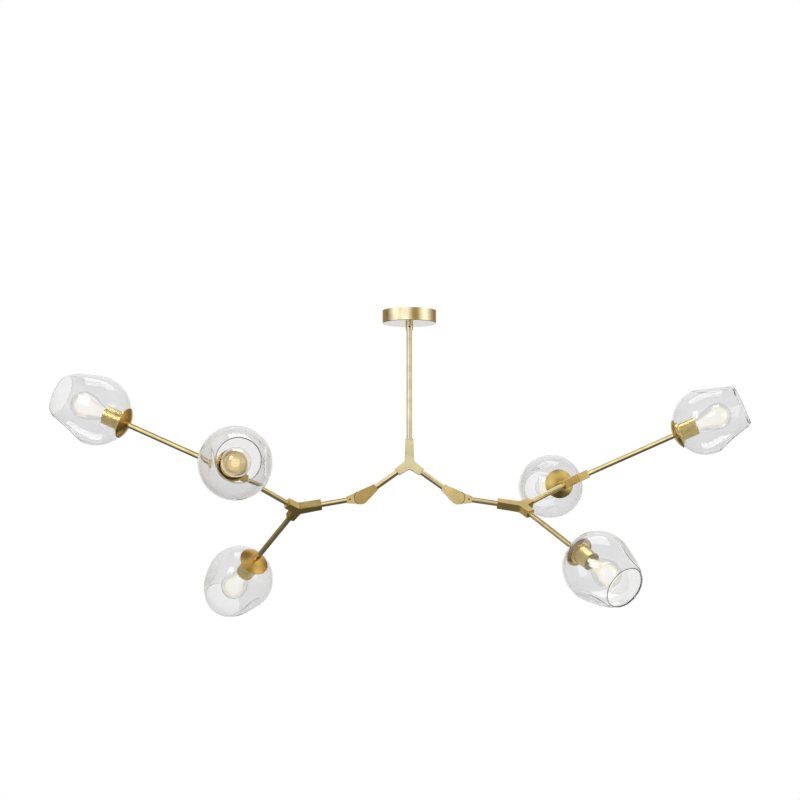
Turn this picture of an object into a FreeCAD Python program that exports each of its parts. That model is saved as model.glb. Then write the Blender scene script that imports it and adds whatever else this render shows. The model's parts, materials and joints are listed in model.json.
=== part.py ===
"""Branch chandelier: a ceiling canopy and stem, two swivelling branches and six glass lamps.

Millimetres.  The origin is the centre of the ceiling face, +Z is up, +X is the right branch
and -Y is the front.  Rods, hubs and lamps are alike and differ only in where they stand.
"""
import FreeCAD, Part
import Sketcher
import math
import os
import re

SIZES = [
    # ceiling fitting
    ("canopy_diameter", 120, "outside of the ceiling canopy"),
    ("canopy_height", 28, "ceiling to underside"),
    ("canopy_wall", 1.5, "sheet of the canopy"),
    ("canopy_edge", 1, "chamfer round the underside"),
    ("collar_diameter", 16, "slip collar under the canopy"),
    ("collar_height", 15, "slip collar"),
    ("bracket_length", 104, "crossbar along X"),
    ("bracket_width", 22, "crossbar along Y"),
    ("bracket_thickness", 2.5, "crossbar strip"),
    ("slot_spacing", 70, "centre to centre of the ceiling slots"),
    ("slot_width", 4.5, "ceiling slot"),
    ("slot_length", 12, "ceiling slot, end to end"),
    ("nipple_diameter", 8, "threaded tube that hangs the stem"),
    ("nipple_bore", 5.6, "wire way through the nipple"),
    ("nipple_length", 34, "threaded tube"),
    ("nipple_set_back", 0.5, "threaded tube below the ceiling face"),
    ("nut_flats", 13, "across the flats of a lock nut"),
    ("nut_height", 4, "lock nut"),
    ("terminal_length", 24, "terminal block along X"),
    ("terminal_width", 16, "terminal block along Y"),
    ("terminal_height", 12, "terminal block"),
    ("terminal_offset", 24, "centre of the terminal block from the stem"),
    ("terminal_way", 3.2, "wire way in the terminal block"),
    ("earth_offset", 16, "earth screw from the stem"),
    ("earth_head_diameter", 8, "head of the earth screw"),
    ("earth_head_height", 2.4, "head of the earth screw"),
    ("earth_end_gap", 0.25, "end of the earth screw below the ceiling face"),
    # stem and rods
    ("stem_diameter", 12, "outside of the stem"),
    ("stem_drop", 337.4, "ceiling to the middle of the centre hub"),
    ("stem_start", 12, "ceiling to the top end of the stem"),
    ("rod_diameter", 12, "outside of every rod"),
    ("rod_bore", 9, "inside of every rod"),
    ("cable_diameter", 3.2, "two-core cable inside the rods"),
    ("slip_gap", 0.05, "radial gap of each round fit"),
    ("seat_gap", 0.3, "gap between curved neighbours"),
    ("overcut", 1, "how far a cutting tool runs past a face"),
    ("socket_share", 0.5, "hexagon socket of a screw, share of its diameter"),
    ("socket_depth_share", 0.6, "hexagon socket of a screw, share of its height"),
    # three-legged hubs
    ("leg_angle", 54.7, "short leg from the line of the long leg, degrees"),
    ("long_leg", 54, "node to the end of the long leg"),
    ("short_leg", 33, "node to the end of a short leg"),
    ("leg_end_width", 17.5, "leg at its end"),
    ("leg_root_width", 20.5, "leg at the node"),
    ("hub_thickness", 18, "hub across its flat faces"),
    ("hub_fillet", 8, "hollow corner between two legs"),
    ("hub_edge", 0.8, "chamfer round the flat faces"),
    ("seat_depth", 13, "rod in a leg or a swivel"),
    # swivels
    ("swivel_thickness", 17, "both halves together"),
    ("disc_diameter", 30, "front disc of the fork"),
    ("tongue_width", 25, "tongue at its shoulder"),
    ("neck_reach", 39.5, "pivot to the fork's narrow end"),
    ("neck_width", 14.6, "fork's narrow end"),
    ("tongue_reach", 32, "pivot to the tongue's narrow end"),
    ("tongue_end_width", 14.4, "tongue's narrow end"),
    ("washer_diameter", 22, "washer between the halves"),
    ("washer_thickness", 0.5, "washer between the halves"),
    ("pivot_diameter", 5, "pivot screw"),
    ("pivot_head_diameter", 9, "head of the pivot screw"),
    ("pivot_head_height", 3, "head of the pivot screw"),
    ("pivot_skin", 2.5, "fork's front skin over the end of the pivot screw's thread"),
    ("grub_diameter", 4, "set screws of the tongue and the collar"),
    ("grub_place", 25, "pivot to the tongue's set screw"),
    # how the branches stand
    ("inner_reach", 129, "centre hub to pivot"),
    ("outer_reach", 142, "pivot to branch hub"),
    ("link_reach", 218.4, "branch hub to fork hub"),
    ("upper_reach", 253.6, "fork hub to the upper lamp's cap rim"),
    ("side_reach", 128.9, "fork hub to the front or rear lamp's cap rim"),
    ("lower_reach", 205.8, "branch hub to the lower lamp's cap rim"),
    ("left_slope_angle", 10, "left branch rod below the horizontal, degrees"),
    ("right_slope_angle", 8.2, "right branch rod below the horizontal, degrees"),
    ("left_branch_angle", -55.7, "left branch hub about its rod, degrees"),
    ("right_branch_angle", -60.3, "right branch hub about its rod, degrees"),
    ("left_fork_angle", 74.9, "left fork hub about its link rod, degrees"),
    ("right_fork_angle", 73.9, "right fork hub about its link rod, degrees"),
    # lamps, measured from the cap's rim along the lamp's axis
    ("cap_diameter", 68, "domed cap"),
    ("cap_height", 12, "domed cap, rim to apex"),
    ("cap_wall", 1.5, "domed cap"),
    ("cap_lip", 1.6, "straight lip at the cap's rim"),
    ("shell_diameter", 40, "socket shell"),
    ("shell_wall", 1.4, "socket shell"),
    ("shell_start", -6, "back of the socket shell"),
    ("shell_end", 45, "front of the socket shell"),
    ("ring_diameter", 50, "shade ring on the socket shell"),
    ("ring_end", 8, "front of the shade ring"),
    ("insert_start", 3, "back of the lampholder insert"),
    ("insert_end", 43, "front of the lampholder insert"),
    ("base_diameter", 26.4, "screw base of the bulb"),
    ("base_start", 19, "back of the screw base"),
    ("base_end", 46, "front of the screw base"),
    ("base_wall", 2, "taper and bottom of the screw base"),
    ("contact_diameter", 10, "centre contact of the screw base"),
    ("contact_height", 2, "centre contact of the screw base"),
    ("bulb_diameter", 60, "glass bulb"),
    ("bulb_end", 128, "tip of the glass bulb"),
    ("bulb_neck_diameter", 25, "glass bulb in its base"),
    ("bulb_neck_start", 25, "open end of the glass bulb inside its base"),
    ("bulb_cone_angle", 24, "where the bulb's cone meets its ball, degrees behind the middle"),
    ("bulb_wall", 1, "glass bulb"),
    ("filament_diameter", 1.8, "filament stick"),
    ("filament_start", 74, "foot of the filaments"),
    ("filament_end", 108, "top of the filaments"),
    ("filament_spread", 7, "filament from the lamp's axis"),
    ("mount_diameter", 7, "glass mount of the filaments"),
    ("rod_end", 1, "lamp rod inside the socket shell"),
    ("lamp_nut_flats", 17, "lock nut on the lamp rod"),
    ("lamp_nut_height", 4, "lock nut on the lamp rod"),
    ("shade_diameter", 150, "glass shade"),
    ("shade_center", 68, "widest place of the shade"),
    ("front_arc", 147, "arc of the shade's front, seen from the side"),
    ("shade_mouth", 157, "open mouth of the shade"),
    ("shade_wall", 2.8, "glass of the shade"),
    ("shade_neck", 42, "neck opening of the shade"),
    ("dimple_radius", 130, "hollow of a dimple"),
    ("dimple_depth", 6.4, "glass surface pushed in at a dimple"),
    ("dimple_angle", 66, "dimple's direction from the lamp's axis, degrees"),
]
DIMPLES = 2
FRONT_STEPS = 8
FILAMENTS = 4

X_AXIS = FreeCAD.Vector(1, 0, 0)
Y_AXIS = FreeCAD.Vector(0, 1, 0)
Z_AXIS = FreeCAD.Vector(0, 0, 1)
UPRIGHT = FreeCAD.Rotation()
ALONG_X = FreeCAD.Rotation(Y_AXIS, 90)
ALONG_Y = FreeCAD.Rotation(X_AXIS, -90)

doc = FreeCAD.newDocument("branch_chandelier")
sheet = doc.addObject("Spreadsheet::Sheet", "Sizes")
for row, (alias, value, note) in enumerate(SIZES, start=1):
    sheet.set(f"A{row}", alias)
    sheet.set(f"B{row}", str(value))
    sheet.set(f"C{row}", note)
    sheet.setAlias(f"B{row}", alias)
doc.recompute()

ALIASES = {alias for alias, value, note in SIZES}
SUB_PARTS = []


def size(alias):
    """A driving size as a number."""
    return float(sheet.get(alias))


def bound(text):
    """Write an expression on the sheet's cells from one on their plain names."""
    return re.sub(r"[a-z_]+", lambda word: "Sizes." + word[0] if word[0] in ALIASES else word[0], str(text))


def number(text):
    """What an expression on the sheet's cells comes to."""
    answer = sheet.evalExpression(bound(text))
    return float(getattr(answer, "Value", answer))


# ---------------------------------------------------------------- building blocks

def primitive(kind, name, sizes, at=(0, 0, 0), turn=UPRIGHT):
    """A Part primitive whose sizes and place are bound to the sheet."""
    solid = doc.addObject(kind, name)
    solid.Placement = FreeCAD.Placement(FreeCAD.Vector(), turn)
    for prop, text in sizes.items():
        solid.setExpression(prop, bound(text))
    for axis, text in zip("xyz", at):
        if text != 0:
            solid.setExpression("Placement.Base." + axis, bound(text))
    return solid


def cylinder(name, diameter, length, at=(0, 0, 0), turn=UPRIGHT):
    return primitive("Part::Cylinder", name, {"Radius": f"({diameter}) / 2", "Height": length}, at, turn)


def block(name, along_x, along_y, along_z, at):
    """A box centred on X and Y, standing on its lowest face."""
    corner = (f"({at[0]}) - ({along_x}) / 2", f"({at[1]}) - ({along_y}) / 2", at[2])
    return primitive("Part::Box", name, {"Length": along_x, "Width": along_y, "Height": along_z}, corner)


def fuse(name, *pieces):
    if len(pieces) == 1:
        return pieces[0]
    joined = doc.addObject("Part::MultiFuse", name)
    joined.Shapes = list(pieces)
    return joined


def cut(name, base, *tools):
    left = doc.addObject("Part::Cut", name)
    left.Base = base
    left.Tool = fuse(name + "_tools", *tools)
    return left


def group(name, pieces):
    """Separate solids that share one sub-part."""
    joined = doc.addObject("Part::Compound", name)
    joined.Links = pieces
    return joined


def origin_plane(body, role):
    return next(item for item in body.Origin.OriginFeatures if item.Role == role)


def pin(sketch, item, point, kind, text):
    """Hold one coordinate of a sketch point at an expression."""
    label = f"{kind}_{item}_{point}"
    place = sketch.addConstraint(Sketcher.Constraint(kind, -1, 1, item, point, number(text)))
    sketch.renameConstraint(place, label)
    sketch.setExpression("Constraints." + label, bound(text))


def outline(body, role, corners, middle=None):
    """A closed sketch of straight lines, each corner bound to the sheet.

    With a middle, the first side is a quarter circle about that height on the vertical axis.
    """
    sketch = body.newObject("Sketcher::SketchObject", body.Name + "_outline")
    sketch.AttachmentSupport = [(origin_plane(body, role), "")]
    sketch.MapMode = "FlatFace"
    points = [FreeCAD.Vector(number(across), number(up), 0) for across, up in corners]
    for index, point in enumerate(points):
        side = Part.LineSegment(point, points[(index + 1) % len(points)])
        if middle is not None and index == 0:
            center = FreeCAD.Vector(0, number(middle), 0)
            side = Part.ArcOfCircle(Part.Circle(center, Z_AXIS, points[1].x), -math.pi / 2, 0)
        sketch.addGeometry(side, False)
    for index, (across, up) in enumerate(corners):
        sketch.addConstraint(Sketcher.Constraint("Coincident", (index - 1) % len(corners), 2, index, 1))
        pin(sketch, index, 1, "DistanceX", across)
        pin(sketch, index, 1, "DistanceY", up)
    if middle is not None:
        pin(sketch, 0, 3, "DistanceY", middle)
    return sketch


def turned(name, corners, middle=None):
    """A piece turned about Z from corners given as (radius, height)."""
    body = doc.addObject("PartDesign::Body", name)
    sketch = outline(body, "XZ_Plane", corners, middle)
    turning = body.newObject("PartDesign::Revolution", name + "_turning")
    turning.Profile = sketch
    turning.ReferenceAxis = (sketch, ["V_Axis"])
    turning.Angle = 360
    sketch.Visibility = False
    return body


def slab(name, corners, thickness):
    """A flat piece on the XY plane, as thick above it as below."""
    body = doc.addObject("PartDesign::Body", name)
    sketch = outline(body, "XY_Plane", corners)
    pad = body.newObject("PartDesign::Pad", name + "_pad")
    pad.Profile = sketch
    pad.Midplane = True
    pad.setExpression("Length", bound(thickness))
    return body


def sub_part(piece, label, place=None):
    """Name a finished piece and put it where it stands."""
    piece.Label = label
    if place is not None:
        piece.Placement = place
    SUB_PARTS.append(piece)
    return piece


def along(point, direction, side=None):
    """Placement that lays local Z along a direction, and local X near a side direction."""
    if side is None:
        side = X_AXIS if abs(direction.dot(Z_AXIS)) > math.cos(math.radians(45)) else Z_AXIS
    return FreeCAD.Placement(point, FreeCAD.Rotation(side, FreeCAD.Vector(), direction, "ZXY"))


def flat(point, forward, sideways):
    """Placement of a hub or swivel: local X forward, local Y near the sideways direction."""
    return FreeCAD.Placement(point, FreeCAD.Rotation(forward, sideways, FreeCAD.Vector(), "XYZ"))


# ---------------------------------------------------------------- pieces, each in its own frame

def ring(name, outside, bore, low, high):
    """A plain round tube on Z."""
    return turned(name, [(f"({bore}) / 2", low), (f"({outside}) / 2", low),
                         (f"({outside}) / 2", high), (f"({bore}) / 2", high)])


def tube(name, start, end):
    """A rod tube on Z, start and end measured along it."""
    return ring(name, "rod_diameter", "rod_bore", start, end)


def nut(name, flats, bore, low, height):
    """A hexagon nut on Z."""
    blank = primitive("Part::Prism", name + "_blank",
                      {"Circumradius": f"({flats}) / 2 / cos(30)", "Height": height}, (0, 0, low))
    blank.Polygon = 6
    return cut(name, blank, cylinder(name + "_bore", bore, height, (0, 0, low)))


def grub(name, length):
    """A set screw on Z, its hexagon socket at the low end."""
    socket = primitive("Part::Prism", name + "_socket",
                       {"Circumradius": "grub_diameter / 2 * socket_share",
                       "Height": f"({length}) * socket_depth_share"})
    socket.Polygon = 6
    return cut(name, cylinder(name + "_blank", "grub_diameter - 2 * slip_gap", length), socket)


def hub(name, long_seat="rod_diameter"):
    """A hub with one long leg to -X and two short legs either side of +X, on the XY plane."""
    half_end = "leg_end_width / 2"
    half_root = "leg_root_width / 2"
    back_turn = "(180 + leg_angle) / 2"
    corners = [
        ("-long_leg", half_end),
        ("-long_leg", f"-{half_end}"),
        (f"{half_root} / sin((180 - leg_angle) / 2) * cos({back_turn})",
         f"-{half_root} / sin((180 - leg_angle) / 2) * sin({back_turn})"),
        (f"short_leg * cos(leg_angle) - {half_end} * sin(leg_angle)",
         f"-short_leg * sin(leg_angle) - {half_end} * cos(leg_angle)"),
        (f"short_leg * cos(leg_angle) + {half_end} * sin(leg_angle)",
         f"-short_leg * sin(leg_angle) + {half_end} * cos(leg_angle)"),
        (f"{half_root} / sin(leg_angle)", "0"),
        (f"short_leg * cos(leg_angle) + {half_end} * sin(leg_angle)",
         f"short_leg * sin(leg_angle) - {half_end} * cos(leg_angle)"),
        (f"short_leg * cos(leg_angle) - {half_end} * sin(leg_angle)",
         f"short_leg * sin(leg_angle) + {half_end} * cos(leg_angle)"),
        (f"{half_root} / sin((180 - leg_angle) / 2) * cos({back_turn})",
         f"{half_root} / sin((180 - leg_angle) / 2) * sin({back_turn})"),
    ]
    body = slab(name + "_body", corners, "hub_thickness")
    doc.recompute()
    pad = body.Tip
    inner = [f"Edge{index}" for index, edge in enumerate(pad.Shape.Edges, start=1)
             if edge.Length > size("hub_thickness") - 0.1 and
             math.hypot(edge.CenterOfMass.x, edge.CenterOfMass.y) < size("leg_root_width") and
             abs(edge.CenterOfMass.z) < 0.1]
    rounding = body.newObject("PartDesign::Fillet", name + "_fillet")
    rounding.Base = (pad, inner)
    rounding.setExpression("Radius", bound("hub_fillet"))
    doc.recompute()
    faces = [f"Face{index}" for index, face in enumerate(rounding.Shape.Faces, start=1)
             if abs(abs(face.CenterOfMass.z) - size("hub_thickness") / 2) < 0.01]
    bevel = body.newObject("PartDesign::Chamfer", name + "_bevel")
    bevel.Base = (rounding, faces)
    bevel.setExpression("Size", bound("hub_edge"))
    body.Tip = bevel
    bores = []
    for leg, turn, reach, seat in (("long", 180, "long_leg", long_seat),
                                   ("left", size("leg_angle"), "short_leg", "rod_diameter"),
                                   ("right", -size("leg_angle"), "short_leg", "rod_diameter")):
        direction = FreeCAD.Rotation(Z_AXIS, turn).multiply(ALONG_X)
        unit = FreeCAD.Rotation(Z_AXIS, turn).multVec(X_AXIS)
        bores.append(cylinder(f"{name}_{leg}_seat", f"{seat} + 2 * slip_gap", "seat_depth + overcut",
                              (f"({reach} - seat_depth) * {unit.x}", f"({reach} - seat_depth) * {unit.y}", 0),
                              direction))
        bores.append(cylinder(f"{name}_{leg}_way", "rod_bore", reach, (0, 0, 0), direction))
    return cut(name, body, *bores)


def swivel_fork(name):
    """Fork half of a swivel: pivot on Z at the origin, neck to -X, its disc on the +Z side."""
    touch = ("(180 deg - atan2(neck_width / 2; neck_reach)"
             " - acos(disc_diameter / 2 / sqrt(neck_reach ^ 2 + neck_width ^ 2 / 4)))")
    neck = slab(name + "_neck", [
        ("-neck_reach", "neck_width / 2"),
        ("-neck_reach", "-neck_width / 2"),
        (f"disc_diameter / 2 * cos{touch}", f"-disc_diameter / 2 * sin{touch}"),
        (f"disc_diameter / 2 * cos{touch}", f"disc_diameter / 2 * sin{touch}")], "swivel_thickness")
    disc = cylinder(name + "_disc", "disc_diameter", "swivel_thickness", (0, 0, "-swivel_thickness / 2"))
    room = cylinder(name + "_room", "disc_diameter + 2 * seat_gap", "swivel_thickness",
                    (0, 0, "washer_thickness / 2 - swivel_thickness"))
    thread = cylinder(name + "_thread", "pivot_diameter + 2 * slip_gap", "swivel_thickness / 2 - pivot_skin")
    seat = cylinder(name + "_seat", "rod_diameter + 2 * slip_gap", "seat_depth + overcut",
                    ("-neck_reach - overcut", 0, 0), ALONG_X)
    return cut(name, fuse(name + "_blank", neck, disc), room, thread, seat)


def swivel_tongue(name):
    """Tongue half of a swivel: pivot on Z at the origin, rod seat to +X, its disc on the -Z side."""
    shoulder = "sqrt((disc_diameter / 2 + seat_gap) ^ 2 - tongue_width ^ 2 / 4)"
    wedge = slab(name + "_wedge", [
        ("0", "tongue_width / 2"), (shoulder, "tongue_width / 2"),
        ("tongue_reach", "tongue_end_width / 2"), ("tongue_reach", "-tongue_end_width / 2"),
        (shoulder, "-tongue_width / 2"), ("0", "-tongue_width / 2")], "swivel_thickness")
    disc = cylinder(name + "_disc", "tongue_width", "swivel_thickness", (0, 0, "-swivel_thickness / 2"))
    room = cylinder(name + "_room", "disc_diameter + 2 * seat_gap", "swivel_thickness",
                    (0, 0, "-washer_thickness / 2"))
    hole = cylinder(name + "_hole", "pivot_diameter + 2 * slip_gap", "swivel_thickness",
                    (0, 0, "-swivel_thickness / 2"))
    head = cylinder(name + "_head", "pivot_head_diameter + 2 * seat_gap", "pivot_head_height + seat_gap",
                    (0, 0, "-swivel_thickness / 2"))
    seat = cylinder(name + "_seat", "rod_diameter + 2 * slip_gap", "seat_depth + overcut",
                    ("tongue_reach - seat_depth", 0, 0), ALONG_X)
    thread = cylinder(name + "_thread", "grub_diameter", "swivel_thickness / 2", ("grub_place", 0, 0))
    return cut(name, fuse(name + "_blank", wedge, disc), room, hole, head, seat, thread)


def pivot_screw(name):
    """Pivot screw on Z: its head in the tongue's back, its thread in the fork's disc."""
    head = cylinder(name + "_head", "pivot_head_diameter", "pivot_head_height", (0, 0, "-swivel_thickness / 2"))
    shank = cylinder(name + "_shank", "pivot_diameter", "swivel_thickness - pivot_skin - seat_gap",
                     (0, 0, "-swivel_thickness / 2"))
    socket = primitive("Part::Prism", name + "_socket", {
        "Circumradius": "pivot_diameter / 2 * socket_share",
        "Height": "pivot_head_height * socket_depth_share"}, (0, 0, "-swivel_thickness / 2"))
    socket.Polygon = 6
    return cut(name, fuse(name + "_blank", head, shank), socket)


def dome(name, shrink):
    """The solid cap of a sphere under the lamp cap, its skin moved in by shrink."""
    rise = "(cap_height - cap_lip)"
    arch = f"((cap_diameter ^ 2 / 4 + {rise} ^ 2) / 2 / {rise})"
    ball = primitive("Part::Sphere", name + "_ball", {"Radius": f"{arch} - {shrink}"},
                     (0, 0, f"{arch} - cap_height"))
    keep = cylinder(name + "_keep", "cap_diameter", rise, (0, 0, "-cap_height"))
    common = doc.addObject("Part::Common", name)
    common.Base = ball
    common.Tool = keep
    return common


def lamp_cap(name):
    """Domed cap with a short straight lip, the rod through its apex."""
    lip = ring(name + "_lip", "cap_diameter", "cap_diameter - 2 * cap_wall", "-cap_lip", "0")
    rim = cut(name + "_dome", dome(name + "_outer", "0"), dome(name + "_inner", "cap_wall"),
              cylinder(name + "_bore", "rod_diameter + 2 * slip_gap", "cap_height + overcut",
                       (0, 0, "-cap_height - overcut")))
    return fuse(name, rim, lip)


def socket_shell(name):
    """Metal cup round the lampholder, its back plate on the rod."""
    return turned(name, [
        ("rod_diameter / 2 + slip_gap", "shell_start"), ("shell_diameter / 2", "shell_start"),
        ("shell_diameter / 2", "shell_end"), ("shell_diameter / 2 - shell_wall", "shell_end"),
        ("shell_diameter / 2 - shell_wall", "shell_start + shell_wall"),
        ("rod_diameter / 2 + slip_gap", "shell_start + shell_wall")])


def lamp_nut(name):
    """Lock nut that holds the socket shell on the lamp rod."""
    return nut(name, "lamp_nut_flats", "rod_diameter + 2 * slip_gap", "shell_start + shell_wall", "lamp_nut_height")


def glass_back(radius, reach):
    """Height where a sphere about the shade's middle has the given radius."""
    return f"(shade_center - sqrt(({reach}) ^ 2 - ({radius}) ^ 2))"


def shade_ring(name):
    """Threaded ring on the socket shell that holds the shade's neck."""
    start = glass_back("ring_diameter / 2", "shade_diameter / 2 - shade_wall") + " + seat_gap"
    return ring(name, "ring_diameter", "shell_diameter + 2 * slip_gap", start, "ring_end")


def socket_insert(name):
    """Lampholder insert: a cup that takes the bulb's screw base."""
    return turned(name, [
        ("0", "insert_start"), ("shell_diameter / 2 - shell_wall - slip_gap", "insert_start"),
        ("shell_diameter / 2 - shell_wall - slip_gap", "insert_end"),
        ("base_diameter / 2 + seat_gap", "insert_end"),
        ("base_diameter / 2 + seat_gap", "base_start - contact_height"), ("0", "base_start - contact_height")])


def screw_base(name):
    """Metal screw base of a bulb: a cup with a centre contact."""
    return turned(name, [
        ("0", "base_start - contact_height"), ("contact_diameter / 2", "base_start - contact_height"),
        ("contact_diameter / 2", "base_start"), ("base_diameter / 2", "base_start + base_wall"),
        ("base_diameter / 2", "base_end"), ("bulb_neck_diameter / 2 + slip_gap", "base_end"),
        ("bulb_neck_diameter / 2 + slip_gap", "base_start + 2 * base_wall"), ("0", "base_start + 2 * base_wall")])


def bulb_blank(name, shrink):
    """Pear-shaped solid of a bulb: ball, cone and neck, the skin moved in by shrink."""
    ball_reach = "bulb_diameter / 2"
    ball_center = f"(bulb_end - {ball_reach})"
    ball = primitive("Part::Sphere", name + "_ball", {"Radius": f"{ball_reach} - {shrink}"}, (0, 0, ball_center))
    shoulder = primitive("Part::Cone", name + "_shoulder", {
        "Radius1": f"bulb_neck_diameter / 2 - {shrink}",
        "Radius2": f"({ball_reach} - {shrink}) * cos(bulb_cone_angle)",
        "Height": f"{ball_center} - ({ball_reach} - {shrink}) * sin(bulb_cone_angle) - base_end"},
                         (0, 0, "base_end"))
    neck = cylinder(name + "_neck", f"bulb_neck_diameter - 2 * {shrink}",
                    f"base_end - bulb_neck_start + {shrink}", (0, 0, f"bulb_neck_start - {shrink}"))
    return fuse(name, ball, shoulder, neck)


def bulb_glass(name):
    """Thin clear bulb, open at the end that sits in its base."""
    return cut(name, bulb_blank(name + "_outer", "0"), bulb_blank(name + "_inner", "bulb_wall"))


def bulb_filaments(name):
    """Glass mount with upright filament sticks round the axis."""
    mount = cylinder(name + "_mount", "mount_diameter",
                     "filament_start - base_start - 2 * base_wall", (0, 0, "base_start + 2 * base_wall"))
    plate = cylinder(name + "_plate", "2 * filament_spread + 2 * filament_diameter", "filament_diameter",
                     (0, 0, "filament_start - filament_diameter"))
    sticks = []
    for index in range(FILAMENTS):
        turn = 360 * index / FILAMENTS + 45
        sticks.append(cylinder(f"{name}_stick{index}", "filament_diameter", "filament_end - filament_start",
                               (f"filament_spread * cos({turn})", f"filament_spread * sin({turn})",
                                "filament_start")))
    return fuse(name, mount, plate, *sticks)


def shade_blank(name, shrink, end, turn):
    """Solid of a shade: half ball, drawn-in front and dimples, the skin moved in by shrink."""
    back_reach = f"(shade_diameter / 2 - {shrink})"
    corners = [("0", f"shade_center - {back_reach}"), (back_reach, "shade_center")]
    for step in range(1, FRONT_STEPS + 1):
        rise = f"(({end} - shade_center) * {step} / {FRONT_STEPS})"
        corners.append((f"sqrt((front_arc - {shrink}) ^ 2 - {rise} ^ 2) - front_arc + shade_diameter / 2",
                        f"shade_center + {rise}"))
    body = turned(name + "_whole", corners + [("0", end)], "shade_center")
    hollows = []
    off = "(shade_diameter / 2 - dimple_depth + dimple_radius)"
    for index in range(DIMPLES):
        spin = turn + 360 * index / DIMPLES
        hollows.append(primitive("Part::Sphere", f"{name}_dimple{index}", {"Radius": f"dimple_radius + {shrink}"}, (
            f"{off} * sin(dimple_angle) * cos({spin})", f"{off} * sin(dimple_angle) * sin({spin})",
            f"shade_center + {off} * cos(dimple_angle)")))
    return cut(name, body, *hollows)


def shade(name, turn):
    """Blown glass shade with a neck opening and an open mouth."""
    neck = cylinder(name + "_neck", "shade_neck", "shade_center", (0, 0, "-shade_center / 2"))
    return cut(name, shade_blank(name + "_outer", "0", "shade_mouth", turn),
               shade_blank(name + "_inner", "shade_wall", "(shade_mouth + overcut)", turn), neck)


# ---------------------------------------------------------------- where everything stands

def slanted(forward, sideways, turn):
    """Directions of a hub's two short legs, the hub turned about its long leg."""
    across = FreeCAD.Rotation(forward, turn).multVec(sideways)
    spread = math.radians(size("leg_angle"))
    return (forward * math.cos(spread) + across * math.sin(spread),
            forward * math.cos(spread) - across * math.sin(spread), across)


class Branch:
    """Places and directions of one side, worked out on the right and turned half round for the left."""

    def __init__(self, side):
        lean = math.radians(size("leg_angle"))
        slope = math.radians(size(side + "_slope_angle"))
        turn = {"right": 0, "left": 180}[side]
        half_turn = FreeCAD.Rotation(Z_AXIS, turn)
        self.side = side
        inner = FreeCAD.Vector(math.sin(lean), 0, -math.cos(lean))
        outer = FreeCAD.Vector(math.cos(slope), 0, -math.sin(slope))
        upward = FreeCAD.Vector(math.sin(slope), 0, math.cos(slope))
        link, low, hub_side = slanted(outer, upward, size(side + "_branch_angle"))
        level = (Z_AXIS - link * link.z).normalize()
        high, cross, fork_side = slanted(link, level, size(side + "_fork_angle"))
        self.center = FreeCAD.Vector(0, 0, -size("stem_drop"))
        pivot = self.center + inner * size("inner_reach")
        branch_hub = pivot + outer * size("outer_reach")
        fork_hub = branch_hub + link * size("link_reach")
        self.pivot, self.branch_hub, self.fork_hub = (
            self.center + half_turn.multVec(point - self.center) for point in (pivot, branch_hub, fork_hub))
        self.inner, self.outer, self.link = (half_turn.multVec(way) for way in (inner, outer, link))
        self.hub_side, self.fork_side = half_turn.multVec(hub_side), half_turn.multVec(fork_side)
        side_name = {"left": "front", "right": "rear"}[side]
        self.lamps = [
            ("upper", self.fork_hub, half_turn.multVec(high), size("upper_reach")),
            (side_name, self.fork_hub, half_turn.multVec(cross), size("side_reach")),
            ("lower", self.branch_hub, half_turn.multVec(low), size("lower_reach")),
        ]


# ---------------------------------------------------------------- assembly

def ceiling_fitting():
    """Crossbar, nipple, lock nuts, terminal block and earth screw inside the canopy."""
    strip = block("bracket_strip", "bracket_length", "bracket_width", "bracket_thickness",
                  (0, 0, "-bracket_thickness"))
    holes = [cylinder("bracket_center", "nipple_diameter + 2 * slip_gap", "bracket_thickness",
                      (0, 0, "-bracket_thickness")),
             cylinder("bracket_earth", "grub_diameter + 2 * slip_gap", "bracket_thickness",
                      ("-earth_offset", 0, "-bracket_thickness"))]
    for name, way in (("left", -1), ("right", 1)):
        middle = f"{way} * slot_spacing / 2"
        holes.append(block(f"slot_{name}", "slot_length - slot_width", "slot_width", "bracket_thickness",
                           (middle, 0, "-bracket_thickness")))
        for end in (-1, 1):
            holes.append(cylinder(f"slot_{name}_end", "slot_width", "bracket_thickness",
                                  (f"{middle} + {end} * (slot_length - slot_width) / 2", 0,
                                   "-bracket_thickness")))
    sub_part(cut("bracket", strip, *holes), "ceiling_bracket")
    sub_part(ring("nipple", "nipple_diameter", "nipple_bore", "-nipple_length", "-nipple_set_back"),
             "bracket_nipple")
    bore = "nipple_diameter + 2 * slip_gap"
    sub_part(group("lock_nuts", [
        nut("upper_nut", "nut_flats", bore, "-bracket_thickness - nut_height", "nut_height"),
        nut("lower_nut", "nut_flats", bore, "-stem_start", "nut_height")]), "bracket_lock_nuts")
    ways = [cylinder(f"terminal_way{index}", "terminal_way", "terminal_width",
                     (f"terminal_offset + {index} * terminal_length / 3", "-terminal_width / 2",
                      "-bracket_thickness - terminal_height / 2"), ALONG_Y) for index in (-1, 0, 1)]
    sub_part(cut("terminal", block("terminal_body", "terminal_length", "terminal_width", "terminal_height",
                                   ("terminal_offset", 0, "-bracket_thickness - terminal_height")), *ways),
             "terminal_block")
    head = cylinder("earth_head", "earth_head_diameter", "earth_head_height",
                    ("-earth_offset", 0, "-bracket_thickness - earth_head_height"))
    shank = cylinder("earth_shank", "grub_diameter", "bracket_thickness - earth_end_gap",
                     ("-earth_offset", 0, "-bracket_thickness"))
    sub_part(fuse("earth", head, shank), "earth_screw")


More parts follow.
